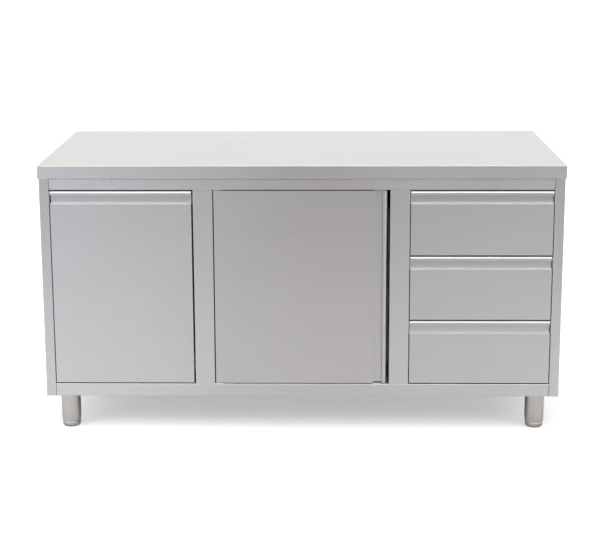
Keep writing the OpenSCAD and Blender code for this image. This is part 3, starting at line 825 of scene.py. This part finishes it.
@dataclass
class Piece:
    """A finished mesh on its way into the scene."""

    name: str
    body: str
    slot: str
    replaces: Sequence[str] = ()
    wall: float = 0.0
    wall_offset: float = 0.0
    edge: float = 0.0
    edge_steps: int = 2
    edge_angle: float = math.radians(40)

    def make(self, draw: Callable[[bmesh.types.BMesh], None]) -> bpy.types.Object:
        """Builds the piece, gives it its wall, soft edges and finish, and hangs it on its body.

        Args:
            draw: Adds the piece's surface to an empty mesh.

        Returns:
            The finished object.
        """
        shape = bmesh.new()
        draw(shape)
        bmesh.ops.remove_doubles(shape, verts=shape.verts, dist=HAIR)
        bmesh.ops.recalc_face_normals(shape, faces=shape.faces)
        for face in shape.faces:
            face.smooth = True
        mesh = bpy.data.meshes.new(self.name)
        shape.to_mesh(mesh)
        shape.free()
        made = bpy.data.objects.new(self.name, mesh)
        bpy.context.scene.collection.objects.link(made)
        mesh.materials.append(FINISHES[self.slot].material())
        self.thicken(made)
        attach(made, self.body)
        if self.replaces:
            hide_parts(*self.replaces)
        log.info("%s: %d faces on %s", self.name, len(mesh.polygons), self.body)
        return made

    def thicken(self, made: bpy.types.Object) -> None:
        """Adds the sheet's wall, its softened edges and even shading as modifiers.

        Args:
            made: The piece's object.
        """
        if self.wall:
            wall = made.modifiers.new("wall", "SOLIDIFY")
            wall.thickness = self.wall
            wall.offset = self.wall_offset
            wall.use_even_offset = True
        if self.edge:
            soft = made.modifiers.new("soft edges", "BEVEL")
            soft.width = self.edge
            soft.segments = self.edge_steps
            soft.limit_method = "ANGLE"
            soft.angle_limit = self.edge_angle
            soft.profile = 0.5
        made.modifiers.new("even shading", "WEIGHTED_NORMAL").keep_sharp = True


# ---- Sub-assemblies -------------------------------------------------------------


@dataclass
class Worktop:
    """The folded worktop: top, four folded edges and the return under them."""

    sheet: float = 1.5 * MM
    radius: float = 2.0 * MM
    return_width: float = 15.0 * MM

    def build(self) -> None:
        """Makes the worktop's sheet."""
        Piece(
            "worktop_sheet", "carcass", "worktop_steel", ("worktop",), wall=self.sheet,
            wall_offset=-1.0, edge=0.3 * MM,
        ).make(self.draw)

    def draw(self, shape: bmesh.types.BMesh) -> None:
        """Draws the outer skin as a rounded block that is open underneath.

        Args:
            shape: The mesh that takes the skin.
        """
        box = NodeBox.of("worktop")
        made = bmesh.ops.create_cube(shape, size=1.0)["verts"]
        bmesh.ops.scale(shape, vec=box.size, verts=made)
        bmesh.ops.translate(shape, vec=box.middle, verts=made)
        bmesh.ops.bevel(
            shape, geom=list(shape.edges), offset=self.radius, segments=4, profile=0.5,
            affect="EDGES", material=-1,
        )
        floor_level = box.low.z + HAIR
        under = [f for f in shape.faces if all(v.co.z < floor_level for v in f.verts)]
        bmesh.ops.inset_region(shape, faces=under, thickness=self.return_width - self.radius)
        bmesh.ops.delete(shape, geom=under, context="FACES")


@dataclass
class Carcass:
    """The carcass skins that show: side panels, posts, top rail and base shelf."""

    sheet: float = 1.0 * MM
    fold: float = 2.0 * MM
    stile_width: float = 30.0 * MM
    stile_lip: float = 18.0 * MM
    rear_fold: float = 20.0 * MM
    base_return: float = 12.0 * MM
    wing_drop: float = 0.25
    seam: float = 0.8 * MM
    crown_bend: float = 4.5 * MM

    @property
    def half(self) -> float:
        """Half of the sheet's thickness."""
        return self.sheet / 2

    @property
    def bend(self) -> float:
        """A fold's radius along the sheet's middle line."""
        return self.fold - self.half

    def piece(self, name: str, slot: str, *nodes: str) -> Piece:
        """Returns an unmade carcass piece of this sheet."""
        return Piece(name, "carcass", slot, nodes, wall=self.sheet, edge=0.25 * MM)

    def build(self) -> None:
        """Makes all the carcass skins."""
        self.build_sides()
        self.build_posts()
        self.build_rail()
        self.build_base()

    def build_sides(self) -> None:
        """Makes the two side panels, each with its stile, lip and rear fold."""
        for side, node in ((-1, "left_side_panel"), (1, "right_side_panel")):
            box = NodeBox.of(node)
            outer = box.high.x if side > 0 else box.low.x
            inner = outer - side * self.stile_width
            front = box.low.y + self.half
            rear = box.high.y - self.half
            corners = [
                Corner(inner + side * self.half, box.low.y + self.stile_lip),
                Corner(inner + side * self.half, front, self.bend),
                Corner(outer - side * self.half, front, self.bend),
                Corner(outer - side * self.half, rear, self.bend),
                Corner(outer - side * self.rear_fold, rear),
            ]
            self.piece(node + "_skin", "upright_steel", node).make(
                FoldedSheet(corners, box.low.z, box.high.z, Run.UPRIGHT).draw
            )

    def build_posts(self) -> None:
        """Makes the two partitions with the posts in front of them."""
        for node in ("left_partition", "right_partition"):
            box = NodeBox.of(node)
            left = box.low.x + self.half
            right = box.high.x - self.half
            corners = [
                Corner(left, box.high.y),
                Corner(left, box.low.y + self.half, self.bend),
                Corner(right, box.low.y + self.half, self.bend),
                Corner(right, box.high.y),
            ]
            self.piece(node + "_skin", "upright_steel", node).make(
                FoldedSheet(corners, box.low.z, box.high.z, Run.UPRIGHT).draw
            )

    def build_rail(self) -> None:
        """Makes the top rail with its two flanges."""
        box = NodeBox.of("top_rail")
        low = box.low.z + self.half
        high = box.high.z - self.half
        corners = [
            Corner(box.high.y, low),
            Corner(box.low.y + self.half, low, self.bend),
            Corner(box.low.y + self.half, high, self.crown_bend),
            Corner(box.high.y, high),
        ]
        self.piece("top_rail_skin", "rail_steel", "top_rail").make(
            FoldedSheet(corners, box.low.x + self.seam, box.high.x - self.seam).draw
        )

    def build_base(self) -> None:
        """Makes the base shelf: its floor, its folds and a wing behind each stile."""
        box = NodeBox.of("base_shelf")
        stile = NodeBox.of("right_side_panel").high.x - self.stile_width
        front = box.low.y + self.half
        rear = box.high.y - self.half
        low = box.low.z + self.half
        high = box.high.z - self.half
        floor = FoldedSheet(
            [
                Corner(box.low.y + self.base_return, low),
                Corner(front, low, self.bend),
                Corner(front, high, self.bend),
                Corner(rear, high, self.bend),
                Corner(rear, low, self.bend),
                Corner(box.high.y - self.base_return, low),
            ],
            self.seam - stile,
            stile - self.seam,
        )
        wing_front = box.low.y + self.stile_lip + self.sheet
        wing_rear = box.high.y - self.fold
        wings = [
            FoldedSheet(
                [
                    Corner(side * stile, high),
                    Corner(side * (box.high.x - self.half), high, self.bend),
                    Corner(side * (box.high.x - self.half), low + self.wing_drop * box.size.z),
                ],
                wing_front,
                wing_rear,
                Run.CROSSWAYS,
            )
            for side in (-1, 1)
        ]

        def draw(shape: bmesh.types.BMesh) -> None:
            """Draws the floor and then its wings."""
            for part in (floor, *wings):
                part.draw(shape)

        self.piece("base_shelf_skin", "rail_steel", "base_shelf").make(draw)


@dataclass
class GripFront:
    """The skin of a drawer front or door, with its grip channel along one edge."""

    node: str
    body: str
    slot: str
    on_side: bool = False
    sheet: float = 1.0 * MM
    fold: float = 2.0 * MM
    crease_bend: float = 1.2 * MM
    floor_drop: float = 5.0 * MM
    grip_height: float = 40.0 * MM
    grip_depth: float = 17.0 * MM
    lip: float = 14.0 * MM
    nose: float = 9.5 * MM
    hem: float = 3.0 * MM
    floor_bend: float = 5.0 * MM
    back_bend: float = 3.0 * MM

    def build(self) -> None:
        """Makes the front's skin."""
        Piece(
            self.node + "_face", self.body, self.slot, (self.node,), wall=self.sheet, edge=0.25 * MM
        ).make(self.draw)

    def section(self, height: float, depth: float) -> list[Corner]:
        """Returns the skin's middle line, from its plain edge to the hem of the grip's lip.

        Args:
            height: The front's size across its grip.
            depth: The depth of the skin.

        Returns:
            The corners, as distances behind the face and above the plain edge.
        """
        half = self.sheet / 2
        bend = self.fold - half
        crease = height - self.grip_height
        back = self.grip_depth - half
        return [
            Corner(depth, half),
            Corner(half, half, bend),
            Corner(half, crease, self.crease_bend),
            Corner(back, crease - self.floor_drop, self.floor_bend),
            Corner(back, height - half, self.back_bend),
            Corner(half, height - half, self.nose - half),
            Corner(half, height - self.lip + half, self.sheet),
            Corner(half + self.hem, height - self.lip + half),
        ]

    def draw(self, shape: bmesh.types.BMesh) -> None:
        """Draws the folded skin and the returns at its two ends, and stands it in its place.

        Args:
            shape: The mesh that takes the front.
        """
        box = NodeBox.of(self.node)
        height, length = box.size.z, box.size.x
        if self.on_side:
            height, length = length, height
        half = self.sheet / 2
        FoldedSheet(self.section(height, box.size.y), 0.0, length, arc_steps=8).draw(shape)
        plain = height - self.grip_height - self.fold
        for end in (half, length - half):
            self.draw_return(shape, end, box.size.y, plain)
        if self.on_side:
            upright = Matrix.Rotation(math.radians(90), 4, "Y")
            bmesh.ops.transform(shape, matrix=upright, verts=shape.verts)
            bmesh.ops.translate(shape, verts=shape.verts, vec=(0.0, 0.0, length))
        bmesh.ops.translate(shape, verts=shape.verts, vec=box.low)

    def draw_return(self, shape: bmesh.types.BMesh, end: float, depth: float, top: float) -> None:
        """Draws the sheet folded back at one end of the front.

        Args:
            shape: The mesh that takes the return.
            end: Where it stands along the front.
            depth: How far back it reaches.
            top: How high it reaches.
        """
        made = bmesh.ops.create_grid(shape, x_segments=1, y_segments=1, size=0.5)["verts"]
        bmesh.ops.rotate(shape, verts=made, matrix=Matrix.Rotation(math.radians(90), 3, "Y"))
        bmesh.ops.scale(shape, vec=(1.0, depth - self.sheet, top - self.fold), verts=made)
        middle = Vector((end, (depth + self.sheet) / 2, (top + self.fold) / 2))
        bmesh.ops.translate(shape, vec=middle, verts=made)


@dataclass
class Legs:
    """The four leg tubes and their levelling feet."""

    wall: float = 1.5 * MM
    taper: float = 2.2 * MM
    pad_radius: float = 23.0 * MM
    pad_rise: float = 0.6
    pad_steps: int = 6
    ring_height: float = 15.0 * MM
    ring_groove: float = 0.9 * MM
    body_taper: float = 0.5 * MM
    body_rise: float = 0.7
    screw_radius: float = 8.0 * MM
    screw_chamfer: float = 1.0 * MM
    cap_height: float = 5.0 * MM
    play: float = 0.1 * MM
    steps: int = 96
    feet: Sequence[str] = ("front_left_foot", "front_right_foot", "rear_left_foot", "rear_right_foot")

    def build(self) -> None:
        """Makes the tubes as one piece of the carcass, and each foot on its own body."""
        Piece("leg_tube_skins", "carcass", "leg_steel", ("leg_tubes",), edge=0.3 * MM).make(
            self.draw_tubes
        )
        for foot in self.feet:
            Piece(foot + "_turned", foot, "leg_steel", (foot,), edge=0.2 * MM).make(
                lambda shape, foot=foot: self.draw_foot(shape, NodeBox.of(foot))
            )

    def spin(self, shape: bmesh.types.BMesh, axis: Vector, outline: list[tuple[float, float]]) -> None:
        """Turns an outline of radius and height pairs round an upright axis.

        Args:
            shape: The mesh that takes the turned surface.
            axis: A point on the axis.
            outline: The outline's points, from one end to the other.
        """
        points = [shape.verts.new((axis.x + radius, axis.y, level)) for radius, level in outline]
        line = [shape.edges.new(pair) for pair in zip(points, points[1:])]
        bmesh.ops.spin(
            shape, geom=points + line, cent=axis, axis=(0.0, 0.0, 1.0), angle=math.tau,
            steps=self.steps, use_merge=True,
        )

    def draw_tubes(self, shape: bmesh.types.BMesh) -> None:
        """Draws each tube with its cap, from its foot to the carcass.

        Args:
            shape: The mesh that takes the tubes.
        """
        tubes = NodeBox.of("leg_tubes")
        for foot in self.feet:
            axis = NodeBox.of(foot).middle
            radius = NodeBox.of(foot).size.x / 2
            bore = radius - self.wall
            cap = tubes.high.z - self.cap_height
            self.spin(
                shape,
                axis,
                [(bore, cap), (bore, tubes.low.z), (radius, tubes.low.z), (radius, tubes.high.z)],
            )
            self.spin(shape, axis, [(radius, tubes.high.z), (0.0, tubes.high.z)])
            self.spin(shape, axis, [(bore, cap), (0.0, cap)])

    def draw_foot(self, shape: bmesh.types.BMesh, box: NodeBox) -> None:
        """Draws a foot: a rounded pad, a grooved ring, a widening body and its screw.

        Args:
            shape: The mesh that takes the foot.
            box: Where the foot stands.
        """
        radius = box.size.x / 2
        ring = radius - self.taper
        body_top = NodeBox.of("leg_tubes").low.z
        turns = [step * math.pi / (2 * self.pad_steps) for step in range(self.pad_steps + 1)]
        pad = [
            (
                self.pad_radius + (ring - self.pad_radius) * math.sin(turn),
                self.ring_height * self.pad_rise * (1 - math.cos(turn)),
            )
            for turn in turns
        ]
        outline = [
            (0.0, 0.0),
            *pad,
            (ring, self.ring_height - self.ring_groove),
            (ring - self.ring_groove, self.ring_height),
            (ring, self.ring_height + self.ring_groove),
            (radius - self.body_taper, body_top * self.body_rise),
            (radius - self.play, body_top - self.play),
            (self.screw_radius, body_top - self.play),
            (self.screw_radius, box.high.z - self.screw_chamfer),
            (self.screw_radius - self.screw_chamfer, box.high.z),
            (0.0, box.high.z),
        ]
        self.spin(shape, box.middle, outline)


@dataclass
class FrameNodes:
    """The frame's own nodes that stay: hidden, inner and small parts in their finishes."""

    nodes: dict[str, bpy.types.Object] = field(default_factory=lambda: frame["nodes"])

    def dress(self) -> None:
        """Gives each shown node the finish of its material slot."""
        for part in frame["record"]["subparts"]:
            node = self.nodes[part["node"]]
            if node.hide_render:
                continue
            finish = FINISHES[part["material_slot"]].material()
            for slot in node.material_slots:
                slot.material = finish
            log.info("%s: %s", node.name, finish.name)


# ---- Studio ---------------------------------------------------------------------


def spread(
    sheet: NodeSheet, place: Socket, stops: Sequence[tuple[float, Colour]], reach: float
) -> Socket:
    """Adds a colour that runs softly through a list of stops.

    Args:
        sheet: The nodes that take the ramp.
        place: The place along the ramp, from 0 to 1.
        stops: Where each colour stands, from minus the reach to the reach.
        reach: The half width that the stops cover.

    Returns:
        The colour's socket.
    """
    node = sheet.add("ValToRGB")
    sheet.feed(node.inputs[0], place)
    ramp = node.color_ramp
    ramp.interpolation = "EASE"
    ramp.elements.remove(ramp.elements[1])
    for number, (at, colour) in enumerate(stops):
        stop = ramp.elements.new(0.5 + 0.5 * at / reach) if number else ramp.elements[0]
        stop.color = (*colour, 1.0)
    return node.outputs[0]


def link(thing: bpy.types.ID, name: str) -> bpy.types.Object:
    """Puts a mesh, light or camera into the scene.

    Args:
        thing: The mesh, light or camera.
        name: The new object's name.

    Returns:
        The object that holds it.
    """
    holder = bpy.data.objects.new(name, thing)
    bpy.context.scene.collection.objects.link(holder)
    return holder


@dataclass
class Floor:
    """The wide pale floor, with painted shade in front of the cabinet, where its faces mirror it, and
    painted light and shade from side to side.
    """

    reach: float = 60.0
    near: float = 0.57
    far: float = 0.257
    fade: tuple[float, float] = (-4.5, -0.65)
    near_tint: float = 0.45
    glow: float = 0.4
    far_glow: float = 0.1
    roughness: float = 0.9
    gloss: float = 0.1
    tint_reach: float = 1.0
    # Painted light and shade across the floor, from left to right: light and bluish on the left, darker and
    # warm in the middle.
    painted_light_and_shade_tints: Sequence[tuple[float, Colour]] = (
        (-1.0, (1.02, 1.03, 1.11)),
        (-0.5, (0.97, 0.955, 0.985)),
        (-0.22, (0.82, 0.78, 0.76)),
        (0.15, (0.74, 0.695, 0.675)),
        (0.5, (0.79, 0.77, 0.77)),
        (1.0, (0.85, 0.835, 0.85)),
    )

    def build(self) -> None:
        """Makes the floor and puts it on the stage."""
        shape = bmesh.new()
        bmesh.ops.create_grid(shape, x_segments=1, y_segments=1, size=self.reach)
        mesh = bpy.data.meshes.new("floor")
        shape.to_mesh(mesh)
        shape.free()
        mesh.materials.append(self.material())
        floor = link(mesh, "floor")

    def material(self) -> bpy.types.Material:
        """Makes the floor's material, with painted shade and painted light in its colour, and a soft glow
        that only the camera sees.

        Returns:
            The material.
        """
        material = bpy.data.materials.new("pale floor")
        material.use_nodes = True
        sheet = NodeSheet(material.node_tree)
        shader = material.node_tree.nodes["Principled BSDF"]
        parts = sheet.add("SeparateXYZ")
        sheet.feed(parts.inputs[0], sheet.add("TexCoord").outputs["Object"])
        # Painted shade: the floor is greyer in front of the cabinet, where the faces mirror it.
        share = sheet.ramp(parts.outputs["Y"], *self.fade, 1.0, 0.0)
        # Painted light and shade from side to side, full away from the cabinet and weaker near it.
        place = sheet.math("MULTIPLY_ADD", parts.outputs["X"], 0.5 / self.tint_reach, 0.5)
        tint = spread(sheet, place, self.painted_light_and_shade_tints, self.tint_reach)
        strength = sheet.ramp(share, 0.0, 1.0, self.near_tint, 1.0)
        painted_shade_grey = sheet.blend(share, (self.near,) * 3, (self.far,) * 3)
        colour = sheet.product(painted_shade_grey, sheet.blend(strength, WHITE, tint))
        sheet.feed(shader.inputs["Base Color"], colour)
        seen = sheet.add("LightPath").outputs["Is Camera Ray"]
        glow = sheet.math("MULTIPLY_ADD", share, self.far_glow, self.glow)
        sheet.feed(shader.inputs["Emission Strength"], sheet.math("MULTIPLY", seen, glow))
        shader.inputs["Emission Color"].default_value = (*WHITE, 1.0)
        shader.inputs["Roughness"].default_value = self.roughness
        shader.inputs["Specular IOR Level"].default_value = self.gloss
        return material


@dataclass
class Room:
    """The soft light all round: a bright band high in front, a pale wall behind the cabinet."""

    overhead: Colour = (2.7, 2.68, 2.66)
    overhead_angle: float = 60.0
    overhead_edge: tuple[float, float] = (0.83, 0.96)
    behind: Colour = (0.85, 0.842, 0.83)
    behind_high: Colour = (1.28, 1.265, 1.25)
    behind_rise: tuple[float, float] = (0.12, 0.5)
    turn: tuple[float, float] = (-0.75, 0.1)
    front_reach: float = 0.6
    front: Sequence[tuple[float, Colour]] = (
        (-0.6, (0.6, 0.61, 0.65)),
        (-0.25, (1.15, 1.2, 1.35)),
        (-0.20, (1.05, 1.08, 1.2)),
        (-0.15, (0.66, 0.67, 0.74)),
        (-0.075, (0.38, 0.36, 0.35)),
        (-0.02, (0.13, 0.125, 0.12)),
        (0.02, (0.12, 0.115, 0.11)),
        (0.045, (0.2, 0.19, 0.185)),
        (0.056, (3.4, 3.3, 3.2)),
        (0.067, (0.2, 0.195, 0.195)),
        (0.12, (0.32, 0.31, 0.32)),
        (0.17, (0.55, 0.55, 0.57)),
        (0.25, (0.8, 0.8, 0.85)),
        (0.6, (0.6, 0.6, 0.63)),
    )

    def build(self) -> None:
        """Fills the world with the room's light, in front of a plain white backdrop."""
        world = bpy.data.worlds.new("room")
        bpy.context.scene.world = world
        world.use_nodes = True
        sheet = NodeSheet(world.node_tree)
        background = world.node_tree.nodes["Background"]
        parts = sheet.add("SeparateXYZ")
        sheet.feed(parts.inputs[0], sheet.add("TexCoord").outputs["Generated"])
        across, depth, up = parts.outputs
        level = sheet.blend(
            sheet.ramp(depth, *self.turn, 0.0, 1.0),
            self.before(sheet, across, depth),
            sheet.blend(sheet.ramp(up, *self.behind_rise, 0.0, 1.0), self.behind, self.behind_high),
        )
        lit = sheet.blend(self.band(sheet, depth, up), level, self.overhead)
        seen = sheet.add("LightPath").outputs["Is Camera Ray"]
        sheet.feed(background.inputs["Color"], sheet.blend(seen, lit, WHITE))
        background.inputs["Strength"].default_value = 1.0

    def before(self, sheet: NodeSheet, across: Socket, depth: Socket) -> Socket:
        """Adds the light in front of the cabinet, which changes from side to side.

        Args:
            sheet: The world's nodes.
            across: The direction's part to the right.
            depth: The direction's part to the back.

        Returns:
            The light's colour.
        """
        toward = sheet.math("MAXIMUM", sheet.math("MULTIPLY", depth, -1.0), 0.05)
        slant = sheet.math("DIVIDE", across, toward)
        place = sheet.math("MULTIPLY_ADD", slant, 0.5 / self.front_reach, 0.5, clamp=True)
        return spread(sheet, place, self.front, self.front_reach)

    def band(self, sheet: NodeSheet, depth: Socket, up: Socket) -> Socket:
        """Adds the share of the bright band, which runs along X, high in front.

        Args:
            sheet: The world's nodes.
            depth: The direction's part to the back.
            up: The direction's part upwards.

        Returns:
            The band's share, 0 to 1.
        """
        angle = math.radians(self.overhead_angle)
        squares = sheet.math("ADD", sheet.math("MULTIPLY", depth, depth), sheet.math("MULTIPLY", up, up))
        raised = sheet.math("MULTIPLY", up, math.sin(angle))
        forward = sheet.math("MULTIPLY_ADD", depth, -math.cos(angle), raised)
        length = sheet.math("SQRT", sheet.math("MAXIMUM", squares, 1e-4))
        lean = sheet.math("DIVIDE", forward, length)
        return sheet.ramp(lean, *self.overhead_edge, 0.0, 1.0)


class LampKind(Enum):
    """Which kind of light a lamp is, by the name of the property that sets its size."""

    SUN = "angle"
    AREA = "size"


@dataclass(frozen=True)
class Lamp:
    """A lamp that points at the cabinet.

    An area lamp's size is its side in metres and its power is in watts. The sun's size is its
    spread in radians.
    """

    name: str
    kind: LampKind
    place: tuple[float, float, float]
    target: tuple[float, float, float]
    size: float
    power: float
    colour: Colour

    def build(self) -> None:
        """Hangs the lamp in its place and points it at its target."""
        light = bpy.data.lights.new(self.name, self.kind.name)
        setattr(light, self.kind.value, self.size)
        light.energy = self.power
        light.color = self.colour
        holder = link(light, self.name)
        holder.location = self.place
        aim = Vector(self.target) - Vector(self.place)
        holder.rotation_euler = aim.to_track_quat("-Z", "Y").to_euler()


@dataclass(frozen=True)
class Viewpoint:
    """Where the camera stands, in metres, how it is turned, in degrees, and its lens."""

    place: tuple[float, float, float] = (0.0625, -4.4924, 1.5749)
    pan: float = 0.919
    down: float = 11.5
    roll: float = -0.193
    lens: float = 83.83
    sensor: float = 36.0
    shift: float = -0.1118

    def build(self) -> None:
        """Stands the camera in front of the cabinet, a little above it."""
        camera = bpy.data.cameras.new("camera")
        camera.sensor_width = self.sensor
        camera.lens = self.lens
        camera.shift_y = self.shift
        pan = Matrix.Rotation(math.radians(self.pan), 4, "Z")
        tilt = Matrix.Rotation(math.radians(90.0 - self.down), 4, "X")
        roll = Matrix.Rotation(math.radians(self.roll), 4, "Z")
        holder = link(camera, "camera")
        holder.matrix_world = Matrix.Translation(self.place) @ pan @ tilt @ roll
        bpy.context.scene.camera = holder


@dataclass
class Studio:
    """The floor, the room, the lamps and the camera."""

    ground_middle: tuple[float, float, float] = (0.0, 0.0, 0.0)
    front_middle: tuple[float, float, float] = (0.0, 0.0, 0.4)
    sky_spread: float = math.radians(70)
    softbox_side: float = 1.6

    def build(self) -> None:
        """Sets up everything that stands round the cabinet."""
        Floor().build()
        Room().build()
        for lamp in self.lamps():
            lamp.build()
        Viewpoint().build()
        bpy.context.scene.view_settings.view_transform = "Standard"

    def lamps(self) -> list[Lamp]:
        """Lists a broad soft light overhead and a softbox on each side.

        Returns:
            The lamps.
        """
        return [
            Lamp(
                "overhead", LampKind.SUN, place=(0.0, -0.6, 4.0), target=self.ground_middle,
                size=self.sky_spread, power=0.2, colour=WHITE,
            ),
            Lamp(
                "left softbox", LampKind.AREA, place=(-3.4, -2.6, 1.7), target=self.front_middle,
                size=self.softbox_side, power=25.0, colour=(0.92, 0.95, 1.0),
            ),
            Lamp(
                "right softbox", LampKind.AREA, place=(3.6, -2.8, 1.7), target=self.front_middle,
                size=self.softbox_side, power=12.0, colour=(1.0, 0.99, 0.97),
            ),
        ]


def main() -> None:
    """Builds each sub-assembly in order and sets up the studio."""
    logging.basicConfig(level=logging.INFO, format="%(name)s: %(message)s")
    Worktop().build()
    Carcass().build()
    for drawer in ("lower_drawer", "middle_drawer", "upper_drawer", "pull_out"):
        GripFront(drawer + "_front", drawer, "front_steel").build()
    GripFront("door_skin", "door", "door_steel", on_side=True).build()
    Legs().build()
    FrameNodes().dress()
    Studio().build()


if __name__ == "__main__":
    main()
